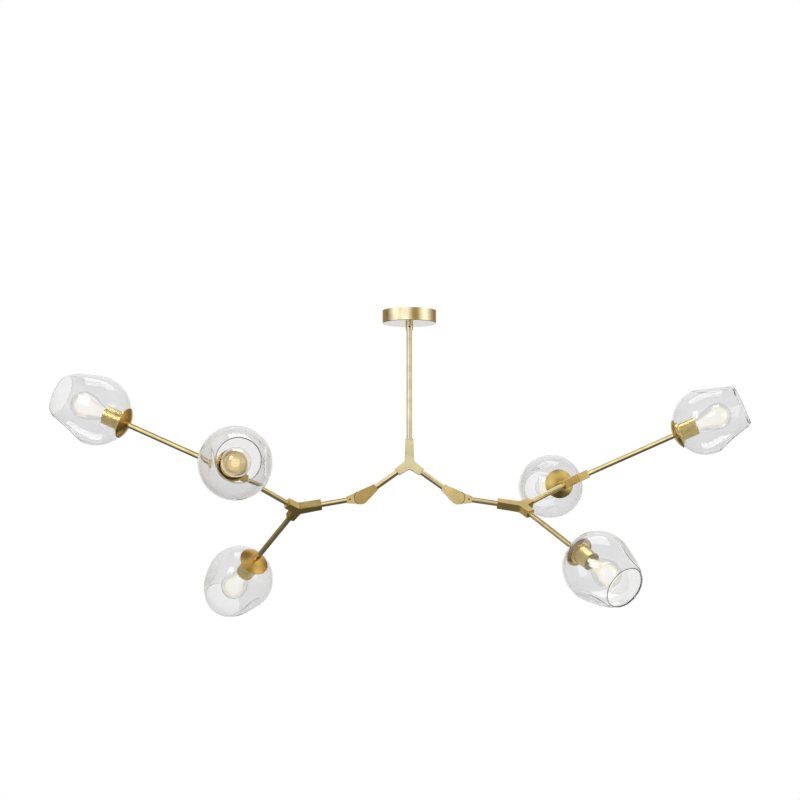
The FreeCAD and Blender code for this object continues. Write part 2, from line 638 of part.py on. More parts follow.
def canopy_and_stem():
    """Canopy, its slip collar with set screw, and the stem."""
    outside = "canopy_diameter / 2"
    hole = "stem_diameter / 2 + seat_gap"
    sub_part(turned("canopy_cup", [
        (hole, "-canopy_height"), (f"{outside} - canopy_edge", "-canopy_height"),
        (outside, "-canopy_height + canopy_edge"), (outside, "0"), (f"{outside} - canopy_wall", "0"),
        (f"{outside} - canopy_wall", "-canopy_height + canopy_wall"),
        (hole, "-canopy_height + canopy_wall")]), "canopy")
    middle = "-canopy_height - collar_height / 2"
    thread = cylinder("collar_thread", "grub_diameter", "collar_diameter", (0, "-collar_diameter", middle), ALONG_Y)
    collar = ring("collar_ring", "collar_diameter", "stem_diameter + 2 * slip_gap",
                  "-canopy_height - collar_height", "-canopy_height")
    sub_part(cut("collar", collar, thread), "canopy_collar")
    length = "(collar_diameter - stem_diameter) / 2 - 2 * slip_gap"
    sub_part(grub("collar_grub", length), "collar_screw", FreeCAD.Placement(
        FreeCAD.Vector(0, -number(f"stem_diameter / 2 + slip_gap + {length}"), number(middle)), ALONG_Y))
    sub_part(ring("stem", "stem_diameter", "nipple_diameter + 2 * slip_gap",
                  "-stem_drop + long_leg - seat_depth", "-stem_start"), "stem_tube")


def rod(name, label, start, way, first, last):
    """A rod from one distance along its line to another."""
    return sub_part(tube(name, first, last), label, along(start, way))


def swivel(branch):
    """Fork, washer and pivot screw of one swivel, and its tongue with the set screw."""
    fork = FreeCAD.Placement(branch.pivot, FreeCAD.Rotation(branch.inner, FreeCAD.Vector(), -Y_AXIS, "ZXY"))
    tongue = FreeCAD.Placement(branch.pivot, FreeCAD.Rotation(branch.outer, FreeCAD.Vector(), -Y_AXIS, "ZXY"))
    side = branch.side
    sub_part(swivel_fork(side + "_fork"), side + "_swivel_fork", fork)
    sub_part(swivel_tongue(side + "_tongue"), side + "_swivel_tongue", tongue)
    length = "swivel_thickness / 2 - rod_diameter / 2 - 2 * slip_gap"
    screw_place = branch.pivot + branch.outer * size("grub_place") - Y_AXIS * (number(length) + number(
        "rod_diameter / 2 + 2 * slip_gap"))
    sub_part(grub(side + "_grub", length), side + "_tongue_screw", FreeCAD.Placement(screw_place, ALONG_Y))
    screw = pivot_screw(side + "_pivot_screw")
    washer = ring(side + "_washer", "washer_diameter", "pivot_diameter + 2 * slip_gap",
                  "slip_gap - washer_thickness / 2", "washer_thickness / 2 - slip_gap")
    for piece in (screw, washer):
        piece.Placement = fork
    return screw, washer


def lamps(branch):
    """The three lamps of a branch: separate shades, the smaller alike pieces in groups."""
    side = branch.side
    groups = {"lamp_caps": lamp_cap, "socket_shells": socket_shell, "lampholders": socket_insert,
              "shade_rings": shade_ring, "bulb_bases": screw_base, "bulbs": bulb_glass,
              "filaments": bulb_filaments, "lamp_nuts": lamp_nut}
    placed = {label: [] for label in groups}
    for name, start, way, reach in branch.lamps:
        leg = "short_leg - seat_depth"
        rod(f"{side}_{name}", f"{side}_{name}_rod", start, way, leg, f"{reach} + rod_end")
        place = along(start + way * reach, way)
        sub_part(shade(f"{side}_{name}_glass", DIMPLE_TURNS[side, name]), f"{side}_{name}_shade", place)
        for label, make in groups.items():
            piece = make(f"{side}_{name}_{label}")
            piece.Placement = place
            placed[label].append(piece)
    for label, pieces in placed.items():
        sub_part(group(f"{side}_{label}_group", pieces), f"{side}_{label}")


def cable(name, start, way, first, last):
    """A straight run of the two-core cable inside a rod."""
    piece = cylinder(name, "cable_diameter", f"({last}) - ({first})", (0, 0, 0))
    piece.Placement = along(start + way * number(first), way)
    return piece


def wiring(name, label, runs):
    """The cable runs of one body, joined where they meet inside the hubs."""
    pieces = [cable(f"{name}_run{index}", *run) for index, run in enumerate(runs)]
    for index, node in enumerate({tuple(run[0]): run[0] for run in runs}.values()):
        splice = primitive("Part::Sphere", f"{name}_splice{index}", {"Radius": "cable_diameter / 2"})
        splice.Placement = FreeCAD.Placement(node, UPRIGHT)
        pieces.append(splice)
    sub_part(fuse(name, *pieces), label)


def whole():
    """Every sub-part of the chandelier."""
    ceiling_fitting()
    canopy_and_stem()
    branches = [Branch("left"), Branch("right")]
    center = branches[0].center
    sub_part(hub("center_hub_piece", "stem_diameter"), "center_hub", flat(center, -Z_AXIS, X_AXIS))
    leg = "short_leg - seat_depth"
    root_runs = [(center, Z_AXIS, 0, "stem_drop - nipple_length / 2")]
    screws, washers = [], []
    for branch in branches:
        side = branch.side
        rod(side + "_inner", side + "_inner_rod", center, branch.inner, leg,
            "inner_reach - neck_reach + seat_depth")
        root_runs.append((center, branch.inner, 0, "inner_reach - neck_reach + seat_depth"))
        screw, washer = swivel(branch)
        screws.append(screw)
        washers.append(washer)
        rod(side + "_outer", side + "_branch_rod", branch.pivot, branch.outer,
            "tongue_reach - seat_depth + seat_gap", "outer_reach - long_leg + seat_depth")
        sub_part(hub(side + "_hub_piece"), side + "_branch_hub",
                 flat(branch.branch_hub, branch.outer, branch.hub_side))
        rod(side + "_link", side + "_link_rod", branch.branch_hub, branch.link, leg,
            "link_reach - long_leg + seat_depth")
        sub_part(hub(side + "_fork_piece"), side + "_fork_hub",
                 flat(branch.fork_hub, branch.link, branch.fork_side))
        lamps(branch)
        runs = [(branch.branch_hub, -branch.outer, 0, "outer_reach - tongue_reach"),
                (branch.branch_hub, branch.link, 0, "link_reach")]
        runs += [(start, way, 0, f"{reach} + insert_start - seat_gap") for name, start, way, reach in branch.lamps]
        wiring(side + "_cables", side + "_wiring", runs)
    sub_part(group("pivot_screws", screws), "swivel_pivot_screws")
    sub_part(group("washers", washers), "swivel_washers")
    wiring("root_cables", "stem_wiring", root_runs)


DIMPLE_TURNS = {("left", "upper"): 11, ("left", "front"): 90, ("left", "lower"): 143,
                ("right", "upper"): 0, ("right", "rear"): 165, ("right", "lower"): 151}

whole()
doc.recompute()
for item in doc.Objects:
    if "Invalid" in item.State or "Error" in item.State:
        raise RuntimeError(f"{item.Label} failed: {item.State}")
os.makedirs("parts", exist_ok=True)
for piece in SUB_PARTS:
    if piece.Shape.isNull() or not piece.Shape.isValid():
        raise RuntimeError(f"{piece.Label} has no valid shape")
for piece in SUB_PARTS:
    piece.Shape.exportStep(f"parts/{piece.Label}.step")
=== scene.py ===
"""Looks of the branch chandelier: brushed brass, blown glass shades and lit clear bulbs.

Metres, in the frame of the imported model: origin at the ceiling, +Z up, -Y towards the viewer.
"""
import json
import math

import bmesh
import bpy
from mathutils import Matrix, Vector, noise


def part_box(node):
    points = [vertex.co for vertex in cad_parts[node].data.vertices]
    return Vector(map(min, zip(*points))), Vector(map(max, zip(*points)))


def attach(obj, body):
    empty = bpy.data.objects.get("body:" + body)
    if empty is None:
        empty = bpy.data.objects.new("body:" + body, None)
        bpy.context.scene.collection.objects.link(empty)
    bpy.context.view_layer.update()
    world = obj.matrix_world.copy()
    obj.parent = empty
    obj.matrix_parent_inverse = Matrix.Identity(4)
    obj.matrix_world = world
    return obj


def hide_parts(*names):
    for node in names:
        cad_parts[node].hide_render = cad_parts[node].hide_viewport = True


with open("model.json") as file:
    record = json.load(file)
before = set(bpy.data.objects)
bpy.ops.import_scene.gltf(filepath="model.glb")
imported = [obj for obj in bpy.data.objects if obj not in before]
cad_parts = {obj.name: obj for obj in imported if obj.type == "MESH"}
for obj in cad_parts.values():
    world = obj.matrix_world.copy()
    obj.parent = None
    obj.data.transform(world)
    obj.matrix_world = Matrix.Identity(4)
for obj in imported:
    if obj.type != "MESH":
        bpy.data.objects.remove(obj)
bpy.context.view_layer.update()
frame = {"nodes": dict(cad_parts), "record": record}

MM = 0.001

# ---------------------------------------------------------------- camera

# fitted to the photo: focal length in pixels, place in metres, angles in degrees
IMAGE_WIDTH = 800
SENSOR = 36.0
FOCAL_PIXELS = 1828.7
CAMERA_PLACE = Vector((-0.1274, -3.9984, -0.5895))
CAMERA_PITCH = 5.597
CAMERA_YAW = 1.5315


def add_camera():
    data = bpy.data.cameras.new("camera")
    data.sensor_width = SENSOR
    data.lens = FOCAL_PIXELS / IMAGE_WIDTH * SENSOR
    data.clip_end = 60
    camera = bpy.data.objects.new("camera", data)
    camera.location = CAMERA_PLACE
    camera.rotation_euler = (math.radians(90 + CAMERA_PITCH), 0, math.radians(-CAMERA_YAW))
    bpy.context.scene.collection.objects.link(camera)
    bpy.context.scene.camera = camera


add_camera()

# ---------------------------------------------------------------- sizes of the lamps, along the lamp's axis

ROD_PAST_RIM = 1 * MM

# shade: a half ball at the back, an arc that draws it in towards its mouth, and two opposite dimples
SHADE_RADIUS = 75 * MM
SHADE_CENTER = 68 * MM
FRONT_ARC = 147 * MM
SHADE_MOUTH = 157 * MM
RIM_BAND = 0.5 * MM
SHADE_NECK_RADIUS = 21 * MM
SHADE_WALL = 2.8 * MM
DIMPLE_RADIUS = 130 * MM
DIMPLE_DEPTH = 6.4 * MM
DIMPLE_TILT = math.radians(66)
DIMPLE_SOFTNESS = 2.2 * MM
DIMPLES = 2

# gap to a dimple, in units of its softness: the skin is left alone below the first, exp stops at the second
UNTOUCHED = -8
OVERFLOW = 30

# faces round a shade, along it and over its rim
SHADE_AROUND = 192
SHADE_ROWS = 132
RIM_STEPS = 6

# unevenness of the blown skin: (waves per radius, height), and the angle over which it dies out at the neck
SKIN_WAVES = ((1.6, 0.9 * MM), (5, 0.1 * MM))
SKIN_SEED = (3.1, 7.7)
NECK_CALM = 0.6

# bulb, the light in it and its screw base
BULB_RADIUS = 30 * MM
BULB_END = 128 * MM
BULB_NECK_RADIUS = 12.5 * MM
BULB_WALL = 0.8 * MM
BULB_SHOULDER = -24
GLOW_END = 121 * MM
GLOW_RADIUS = 22 * MM
GLOW_NECK_RADIUS = 8 * MM
BASE_START = 19 * MM
BASE_END = 46 * MM
BASE_RADIUS = 13.2 * MM
BASE_HOLLOW = BASE_START + 6 * MM
CONTACT = ((0, -2), (4.8, -2), (5, -1.4), (5.2, 0), (9, 1), (12, 2.6))
THREAD_PITCH = 3.6 * MM
THREAD_DEPTH = 0.55 * MM
THREAD_MIDDLE = BASE_RADIUS - 0.6 * MM

# painted shadow: a dark strip where the gap's shade falls
# dark line at the edge of a swivel's disc: its radii, its reach to each side in degrees, and how far it
# stands proud of the swivel's face and is sunk in it
GAP_INSIDE = 14.9 * MM
GAP_OUTSIDE = 16.1 * MM
GAP_SPAN = 62
GAP_PROUD = 0.12 * MM
GAP_SUNK = 0.05 * MM

# where the first dimple of each shade lies, in degrees about the lamp's axis
LAMPS = {
    ("left", "upper"): 11, ("left", "front"): 90, ("left", "lower"): 143,
    ("right", "upper"): 0, ("right", "rear"): 165, ("right", "lower"): 151,
}


# ---------------------------------------------------------------- node helpers

def new_material(name):
    material = bpy.data.materials.new(name)
    material.use_nodes = True
    tree = material.node_tree
    tree.nodes.clear()
    output = tree.nodes.new("ShaderNodeOutputMaterial")
    return material, tree, output


def add_node(tree, kind, **values):
    node = tree.nodes.new(kind)
    for key, value in values.items():
        if key in node.inputs:
            node.inputs[key].default_value = value
        else:
            setattr(node, key, value)
    return node


def color_ramp(tree, factor, stops):
    ramp = tree.nodes.new("ShaderNodeValToRGB")
    points = ramp.color_ramp.elements
    while len(points) < len(stops):
        points.new(0.5)
    for point, (place, color) in zip(points, stops):
        point.position = place
        point.color = (*color, 1)
    tree.links.new(factor, ramp.inputs["Fac"])
    return ramp.outputs["Color"]


def mix_shaders(tree, share, first, second):
    """The first shader where share is 0, the second where it is 1; share is a number or a socket."""
    mix = tree.nodes.new("ShaderNodeMixShader")
    if isinstance(share, float):
        mix.inputs["Fac"].default_value = share
    else:
        tree.links.new(share, mix.inputs["Fac"])
    tree.links.new(first, mix.inputs[1])
    tree.links.new(second, mix.inputs[2])
    return mix.outputs[0]


def srgb(*values):
    """Linear colour of one written in 0 to 255."""
    shares = [value / 255 for value in values]
    return tuple(share / 12.92 if share <= 0.04045 else ((share + 0.055) / 1.055) ** 2.4 for share in shares)


def uneven_color(tree, place, scale, detail, color, darkest, high=0.7):
    """Noise, and a colour that it darkens here and there."""
    noise_node = add_node(tree, "ShaderNodeTexNoise", Scale=scale, Detail=detail)
    tree.links.new(place.outputs["Object"], noise_node.inputs["Vector"])
    base = srgb(*color)
    dark = tuple(part * darkest for part in base)
    return noise_node, color_ramp(tree, noise_node.outputs["Fac"], [(0.3, dark), (high, base)])


# ---------------------------------------------------------------- metal and plastic

# noise scales of the brush lines and of the cloudy patches, and how far the lines are drawn out
BRUSH_SCALE = 2600.0
PATCH_SCALE = 38.0
BRUSH_STRETCH = 0.02


def round_axis(tree, local):
    """Coordinates that stay the same all round the local Z axis: distance from it, and height."""
    link = tree.links.new
    parts = add_node(tree, "ShaderNodeSeparateXYZ")
    link(local, parts.inputs[0])
    flat = add_node(tree, "ShaderNodeVectorMath", operation="MULTIPLY")
    flat.inputs[1].default_value = (1, 1, 0)
    link(local, flat.inputs[0])
    radius = add_node(tree, "ShaderNodeVectorMath", operation="LENGTH")
    link(flat.outputs["Vector"], radius.inputs[0])
    joined = add_node(tree, "ShaderNodeCombineXYZ")
    link(radius.outputs["Value"], joined.inputs["X"])
    link(parts.outputs["Z"], joined.inputs["Z"])
    return joined.outputs["Vector"]


def paint_reflection_below(tree, place, color, below):
    """A painted reflection: the colour, changed to another on faces that look down."""
    link = tree.links.new
    facing = add_node(tree, "ShaderNodeSeparateXYZ")
    link(place.outputs["Normal"], facing.inputs[0])
    share = add_node(tree, "ShaderNodeMapRange")
    share.inputs["From Min"].default_value = -0.6
    share.inputs["From Max"].default_value = -0.9
    link(facing.outputs["Z"], share.inputs["Value"])
    under = add_node(tree, "ShaderNodeMix", data_type="RGBA", blend_type="MIX")
    link(share.outputs["Result"], under.inputs["Factor"])
    link(color, under.inputs["A"])
    under.inputs["B"].default_value = (*srgb(*below), 1)
    return under.outputs["Result"]


def brass(name, tone, rough, axis=None, center=(0, 0, 0), turned=False, below=None):
    """Satin brass: brush lines along an axis, or round it where the piece was turned."""
    material, tree, output = new_material(name)
    link = tree.links.new
    place = add_node(tree, "ShaderNodeTexCoord")
    to_axis = add_node(tree, "ShaderNodeMapping", vector_type="TEXTURE")
    to_axis.inputs["Location"].default_value = center
    if axis is not None:
        to_axis.inputs["Rotation"].default_value = Vector(axis).to_track_quat("Z", "X").to_euler()
    link(place.outputs["Object"], to_axis.inputs["Vector"])
    local = to_axis.outputs["Vector"]
    if turned:
        local = round_axis(tree, local)
    scaled = add_node(tree, "ShaderNodeVectorMath", operation="MULTIPLY")
    scaled.inputs[1].default_value = (1, 1, 1) if turned or axis is None else (1, 1, BRUSH_STRETCH)
    link(local, scaled.inputs[0])
    lines = add_node(tree, "ShaderNodeTexNoise", Scale=BRUSH_SCALE, Detail=3.0, Roughness=0.6)
    link(scaled.outputs["Vector"], lines.inputs["Vector"])
    patches = add_node(tree, "ShaderNodeTexNoise", Scale=PATCH_SCALE, Detail=4.0, Roughness=0.55)
    link(place.outputs["Object"], patches.inputs["Vector"])
    dark = tuple(part * 0.80 for part in srgb(*tone))
    light = tuple(min(1, part * 1.10) for part in srgb(*tone))
    shade = color_ramp(tree, patches.outputs["Fac"], [(0.3, dark), (0.7, light)])
    scratches = color_ramp(tree, lines.outputs["Fac"], [(0.35, (0.72, 0.70, 0.64)), (0.62, (1, 1, 1))])
    fine = add_node(tree, "ShaderNodeMix", data_type="RGBA", blend_type="MULTIPLY")
    fine.inputs["Factor"].default_value = 0.12
    link(shade, fine.inputs["A"])
    link(scratches, fine.inputs["B"])
    roughness = add_node(tree, "ShaderNodeMapRange")
    roughness.inputs["To Min"].default_value = rough - 0.03
    roughness.inputs["To Max"].default_value = rough + 0.04
    link(patches.outputs["Fac"], roughness.inputs["Value"])
    bump = add_node(tree, "ShaderNodeBump", Strength=0.004, Distance=0.0004)
    link(lines.outputs["Fac"], bump.inputs["Height"])
    shader = add_node(tree, "ShaderNodeBsdfPrincipled", Metallic=1.0)
    color = fine.outputs["Result"]
    # below: a painted reflection, another colour on faces that look down
    if below is not None:
        color = paint_reflection_below(tree, place, color, below)
    link(color, shader.inputs["Base Color"])
    link(roughness.outputs["Result"], shader.inputs["Roughness"])
    link(bump.outputs["Normal"], shader.inputs["Normal"])
    link(shader.outputs["BSDF"], output.inputs["Surface"])
    return material


def plain_metal(name, color, rough):
    """Plated or blackened steel with faint uneven plating."""
    material, tree, output = new_material(name)
    link = tree.links.new
    place = add_node(tree, "ShaderNodeTexCoord")
    shade = uneven_color(tree, place, 220.0, 3.0, color, 0.8)[1]
    shader = add_node(tree, "ShaderNodeBsdfPrincipled", Metallic=1.0, Roughness=rough)
    link(shade, shader.inputs["Base Color"])
    link(shader.outputs["BSDF"], output.inputs["Surface"])
    return material


def plastic(name, color, rough):
    """Moulded plastic with a faint surface grain."""
    material, tree, output = new_material(name)
    link = tree.links.new
    place = add_node(tree, "ShaderNodeTexCoord")
    grain, shade = uneven_color(tree, place, 900.0, 2.0, color, 0.86)
    bump = add_node(tree, "ShaderNodeBump", Strength=0.15, Distance=0.0002)
    link(grain.outputs["Fac"], bump.inputs["Height"])
    shader = add_node(tree, "ShaderNodeBsdfPrincipled", Roughness=rough)
    link(shade, shader.inputs["Base Color"])
    link(bump.outputs["Normal"], shader.inputs["Normal"])
    link(shader.outputs["BSDF"], output.inputs["Surface"])
    return material


# ---------------------------------------------------------------- glass and light

def clear_glass(name, tint, edge, waviness, scale, ground=0.0):
    """Clear glass that takes a little light away at each surface, and is painted darker where it turns edge
    on: a painted shade along its outlines.

    ground is the share of its surface that is matt.
    """
    material, tree, output = new_material(name)
    link = tree.links.new
    place = add_node(tree, "ShaderNodeTexCoord")
    waves = add_node(tree, "ShaderNodeTexNoise", Scale=scale, Detail=1.0)
    link(place.outputs["Object"], waves.inputs["Vector"])
    bump = add_node(tree, "ShaderNodeBump", Strength=waviness, Distance=0.002)
    link(waves.outputs["Fac"], bump.inputs["Height"])
    # painted shade: the colour goes from tint to edge as the surface turns edge on, a dark outline
    facing = add_node(tree, "ShaderNodeLayerWeight", Blend=0.5)
    middle = tuple((a + b) / 2 for a, b in zip(tint, edge))
    shade = color_ramp(tree, facing.outputs["Facing"], [
        (0.0, tint), (0.78, tint), (0.93, middle), (1.0, edge)])
    shader = add_node(tree, "ShaderNodeBsdfPrincipled", Roughness=0.0, IOR=1.47)
    shader.inputs["Transmission Weight"].default_value = 1.0
    link(shade, shader.inputs["Base Color"])
    link(bump.outputs["Normal"], shader.inputs["Normal"])
    surface = shader.outputs["BSDF"]
    if ground:
        matt = add_node(tree, "ShaderNodeBsdfDiffuse", Color=(0.7, 0.7, 0.7, 1))
        surface = mix_shaders(tree, ground, surface, matt.outputs[0])
    link(surface, output.inputs["Surface"])
    return material


def glow(name, color, strength):
    """A lit filament with an uneven coat."""
    material, tree, output = new_material(name)
    link = tree.links.new
    place = add_node(tree, "ShaderNodeTexCoord")
    shade = uneven_color(tree, place, 700.0, 1.0, color, 0.8, high=0.6)[1]
    shader = add_node(tree, "ShaderNodeEmission", Strength=strength)
    link(shade, shader.inputs["Color"])
    link(shader.outputs["Emission"], output.inputs["Surface"])
    return material


def soft_glow(name, core, rim, strength, cover):
    """The light round the filaments: clear at its outline, bright towards its middle."""
    material, tree, output = new_material(name)
    link = tree.links.new
    facing = add_node(tree, "ShaderNodeLayerWeight", Blend=0.5)
    shade = color_ramp(tree, facing.outputs["Facing"], [(0.25, srgb(*core)), (0.8, srgb(*rim))])
    share = color_ramp(tree, facing.outputs["Facing"], [
        (0.1, (cover,) * 3), (0.45, (0.8 * cover,) * 3), (0.7, (0.4 * cover,) * 3), (0.97, (0, 0, 0))])
    light = add_node(tree, "ShaderNodeEmission", Strength=strength)
    link(shade, light.inputs["Color"])
    clear = tree.nodes.new("ShaderNodeBsdfTransparent")
    link(mix_shaders(tree, share, clear.outputs[0], light.outputs[0]), output.inputs["Surface"])
    return material


# ---------------------------------------------------------------- mesh helpers

def smooth_object(name, mesh_builder):
    mesh = bpy.data.meshes.new(name)
    builder = bmesh.new()
    mesh_builder(builder)
    bmesh.ops.recalc_face_normals(builder, faces=builder.faces)
    builder.to_mesh(mesh)
    builder.free()
    for face in mesh.polygons:
        face.use_smooth = True
    piece = bpy.data.objects.new(name, mesh)
    bpy.context.scene.collection.objects.link(piece)
    return piece


def grid(builder, rows, closed_rows=False):
    """Faces between rings of points; a ring of one point closes the end."""
    rings = [[builder.verts.new(point) for point in row] for row in rows]
    pairs = list(zip(rings, rings[1:]))
    if closed_rows:
        pairs.append((rings[-1], rings[0]))
    for first, second in pairs:
        count = max(len(first), len(second))
        for index in range(count):
            after = (index + 1) % count
            corners = [first[index % len(first)], first[after % len(first)],
                       second[after % len(second)], second[index % len(second)]]
            unique = list(dict.fromkeys(corners))
            if len(unique) > 2:
                builder.faces.new(unique)


def strip(builder, rows):
    """Closed bar between open rows of points, capped at both ends."""
    bars = [[builder.verts.new(point) for point in row] for row in rows]
    for first, second in zip(bars, bars[1:] + bars[:1]):
        for index in range(len(first) - 1):
            builder.faces.new((first[index], first[index + 1], second[index + 1], second[index]))
    for end in (0, -1):
        builder.faces.new([bar[end] for bar in bars])


def lathe(builder, profile, place, count):
    """A turned piece from (radius, height) points round the local Z axis."""
    rows = []
    for radius, height in profile:
        steps = 1 if radius == 0 else count
        rows.append([place @ Vector((radius * math.cos(2 * math.pi * i / steps),
                                     radius * math.sin(2 * math.pi * i / steps), height))
                     for i in range(steps)])
    grid(builder, rows)


def arc(center, radius, start, end, steps):
    """Points of a profile arc, angles in degrees from the outward direction."""
    points = []
    for index in range(steps + 1):
        angle = math.radians(start + (end - start) * index / steps)
        points.append((center[0] + radius * math.cos(angle), center[1] + radius * math.sin(angle)))
    return points


# ---------------------------------------------------------------- where the lamps are

def rod_axis(node):
    """Ends and direction of a rod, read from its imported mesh."""
    points = [Vector(v.co) for v in frame["nodes"][node].data.vertices]
    first = points[0]
    far = max(points, key=lambda p: (p - first).length)
    near = max(points, key=lambda p: (p - far).length)
    rough = (far - near).normalized()
    middle = (far.dot(rough) + near.dot(rough)) / 2
    ends = []
    for sign in (-1, 1):
        ring = {tuple(round(c, 7) for c in p) for p in points if (p.dot(rough) - middle) * sign > 0}
        ends.append(sum((Vector(p) for p in ring), Vector()) / len(ring))
    return ends[0], ends[1], (ends[1] - ends[0]).normalized()


def lamp_frame(side, name):
    """Placement of a lamp: origin at the cap's rim, local Z along the lamp."""
    first, second, way = rod_axis(f"{side}_{name}_rod")
    hub_low, hub_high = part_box(f"{side}_{'branch' if name == 'lower' else 'fork'}_hub")
    hub = (hub_low + hub_high) / 2
    if (first - hub).length > (second - hub).length:
        first, second, way = second, first, -way
    reference = Vector((1, 0, 0)) if abs(way.z) > math.cos(math.radians(45)) else Vector((0, 0, 1))
    across = (reference - way * reference.dot(way)).normalized()
    rim = second - way * ROD_PAST_RIM
    turn = Matrix((across, way.cross(across), way)).transposed().to_4x4()
    return Matrix.Translation(rim) @ turn


# ---------------------------------------------------------------- glass shade

def shade_reach(direction, shrink):
    """Distance from the shade's middle to its smooth skin along a direction."""
    if direction.z <= 0:
        return SHADE_RADIUS - shrink
    back = (FRONT_ARC - SHADE_RADIUS) * math.hypot(direction.x, direction.y)
    return math.sqrt(back ** 2 - (FRONT_ARC - SHADE_RADIUS) ** 2 + (FRONT_ARC - shrink) ** 2) - back


def dimpled_reach(direction, shrink, turn):
    """The same with the dimples pushed in, their edges softened."""
    reach = shade_reach(direction, shrink)
    far = SHADE_RADIUS - DIMPLE_DEPTH + DIMPLE_RADIUS
    for index in range(DIMPLES):
        spin = math.radians(turn + 360 * index / DIMPLES)
        toward = Vector((math.sin(DIMPLE_TILT) * math.cos(spin), math.sin(DIMPLE_TILT) * math.sin(spin),
                         math.cos(DIMPLE_TILT)))
        along = far * direction.dot(toward)
        inside = along ** 2 - far ** 2 + (DIMPLE_RADIUS + shrink) ** 2
        if along > 0 and inside > 0:
            hollow = along - math.sqrt(inside)
            gap = (reach - hollow) / DIMPLE_SOFTNESS
            if gap > UNTOUCHED:
                reach -= DIMPLE_SOFTNESS * math.log1p(math.exp(min(gap, OVERFLOW)))
    return reach


def add_shade(side, name, turn, place):
    """Blown shade: outer and inner skin joined by a round mouth rim and a plain neck edge."""
    mouth_radius = math.sqrt(FRONT_ARC ** 2 - (SHADE_MOUTH - SHADE_CENTER) ** 2) - FRONT_ARC + SHADE_RADIUS
    first = math.atan2(mouth_radius, SHADE_MOUTH - SHADE_CENTER)
    last = math.pi - math.asin(SHADE_NECK_RADIUS / SHADE_RADIUS)
    seed = Vector((hash_number(side + name), *SKIN_SEED))
    middle = Vector((0, 0, SHADE_CENTER))

    def skin(angle, spin, shrink):
        direction = Vector((math.sin(angle) * math.cos(spin), math.sin(angle) * math.sin(spin),
                            math.cos(angle)))
        uneven = sum(noise.noise(direction * waves + seed) * height for waves, height in SKIN_WAVES)
        calm = min(1.0, max(0.0, (last - angle) / NECK_CALM))
        return middle + direction * (dimpled_reach(direction, shrink, turn) + uneven * calm)

    def build(builder):
        spins = [2 * math.pi * index / SHADE_AROUND for index in range(SHADE_AROUND)]
        angles = [first + (last - first) * row / SHADE_ROWS for row in range(SHADE_ROWS + 1)]
        outer = [[skin(angle, spin, 0) for spin in spins] for angle in angles]
        inner = [[skin(angle, spin, SHADE_WALL) for spin in spins] for angle in angles]
        forward = Vector((0, 0, 1)) * (SHADE_WALL / 2)
        rim = []
        for step in range(1, RIM_STEPS):
            bend = math.pi * step / RIM_STEPS
            lift = forward * math.sin(bend)
            rim.append([(outside + inside) / 2 - (outside - inside) / 2 * math.cos(bend) + lift
                        for outside, inside in zip(outer[0], inner[0])])
        rows = [[place @ p for p in ring] for ring in inner[::-1] + rim + outer]
        grid(builder, rows, closed_rows=True)

    piece = smooth_object(f"{side}_{name}_shade_glass", build)
    piece.data.materials.append(MATERIALS["shade_glass"])
    piece.data.materials.append(MATERIALS["shade_rim"])
    for face in piece.data.polygons:
        if (place.inverted() @ face.center).z > SHADE_MOUTH - RIM_BAND:
            face.material_index = 1
    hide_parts(f"{side}_{name}_shade")
    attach(piece, f"{side}_branch")


def hash_number(text):
    """A steady number from a name."""
    return sum(ord(letter) * (index + 1) for index, letter in enumerate(text)) % 97


# ---------------------------------------------------------------- bulb

def bulb_profile(shrink):
    """Pear shape of the bulb: ball, shoulder and neck."""
    center = BULB_END - BULB_RADIUS
    radius = BULB_RADIUS - shrink
    points = [(0, BULB_END - shrink)]
    points += arc((0, center), radius, 90, BULB_SHOULDER, 30)[1:]
    last_radius, last_height = points[-1]
    neck = BULB_NECK_RADIUS - shrink
    steps = 12
    for step in range(1, steps + 1):
        part = step / steps
        ease = part * part * (3 - 2 * part)
        points.append((last_radius + (neck - last_radius) * (0.55 * part + 0.45 * ease),
                       last_height + (BASE_END - last_height) * part))
    points.append((neck, BASE_HOLLOW + 1 * MM))
    return points


def bulb_mesh(builder, place):
    outer = bulb_profile(0)
    inner = bulb_profile(BULB_WALL)
    lathe(builder, outer + inner[::-1], place, 96)


def bulb_light_mesh(builder, place):
    """Pear of light inside the bulb, from its neck to past the filaments."""
    profile = [(0, GLOW_END)] + arc((0, GLOW_END - GLOW_RADIUS), GLOW_RADIUS, 80, -20, 14)
    last_radius, last_height = profile[-1]
    steps = 8
    for step in range(1, steps + 1):
        part = step / steps
        profile.append((last_radius + (GLOW_NECK_RADIUS - last_radius) * part ** 0.8,
                        last_height + (BASE_END - last_height) * part))
    profile.append((0, BASE_END))
    lathe(builder, profile, place, 48)


def screw_base_mesh(builder, place):
    """Screw base with its rolled thread and centre contact."""
    profile = [(radius * MM, BASE_START + height * MM) for radius, height in CONTACT]
    height = BASE_START + 4 * MM
    steps = 6
    while height < BASE_END - 4 * MM:
        for step in range(steps):
            wave = THREAD_DEPTH * math.cos(2 * math.pi * step / steps)
            profile.append((THREAD_MIDDLE + wave, height + THREAD_PITCH * step / steps))
        height += THREAD_PITCH
    inside = BULB_NECK_RADIUS + 0.1 * MM
    profile += [(BASE_RADIUS, BASE_END - 3 * MM), (BASE_RADIUS, BASE_END), (inside, BASE_END),
                (inside, BASE_HOLLOW), (0, BASE_HOLLOW)]
    lathe(builder, profile, place, 64)


# ---------------------------------------------------------------- materials

